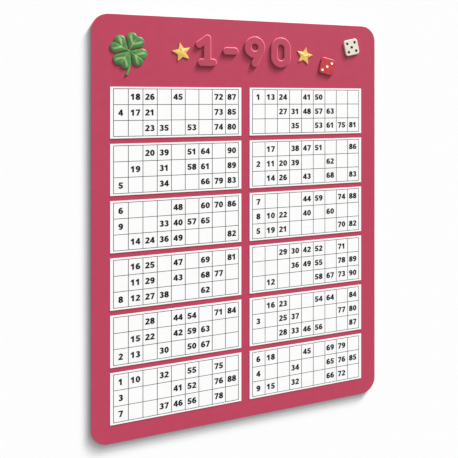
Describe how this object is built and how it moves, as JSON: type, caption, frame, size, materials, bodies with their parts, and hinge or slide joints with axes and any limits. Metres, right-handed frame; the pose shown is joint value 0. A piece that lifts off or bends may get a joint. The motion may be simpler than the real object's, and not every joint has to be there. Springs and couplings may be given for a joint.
{
  "type": "bingo card board",
  "caption": "Flat rounded-corner game board with number cards pasted in two columns, each ruled into cells, under a header of raised numerals and ornaments.",
  "frame": {"origin": "centre of the back face, on the surface that the board lies on", "axes": "+X to the right as the cards are read, +Y towards the header, +Z out of the printed face"},
  "size_m": [0.3, 0.4, 0.0041],
  "materials": {
    "rear_paper": "matte",
    "greyboard": "matte",
    "red_cover": "satin",
    "card_stock": "satin",
    "red_numeral": "satin",
    "green_ornament": "gloss",
    "gold_ornament": "gloss",
    "pale_ornament": "gloss",
    "red_ornament": "gloss"
  },
  "bodies": {
    "root": {"rear_sheet": "rear_paper", "core_board": "greyboard", "cover_sheet": "red_cover", "number_card_left_1": "card_stock", "number_card_left_2": "card_stock", "number_card_left_3": "card_stock", "number_card_left_4": "card_stock", "number_card_left_5": "card_stock", "number_card_left_6": "card_stock", "number_card_right_1": "card_stock", "number_card_right_2": "card_stock", "number_card_right_3": "card_stock", "number_card_right_4": "card_stock", "number_card_right_5": "card_stock", "number_card_right_6": "card_stock", "numeral_one": "red_numeral", "numeral_dash": "red_numeral", "numeral_nine": "red_numeral", "numeral_zero": "red_numeral", "clover_ornament": "green_ornament", "star_ornament_left": "gold_ornament", "star_ornament_right": "gold_ornament", "die_ornament_pale": "pale_ornament", "die_ornament_red": "red_ornament"}
  },
  "joints": []
}
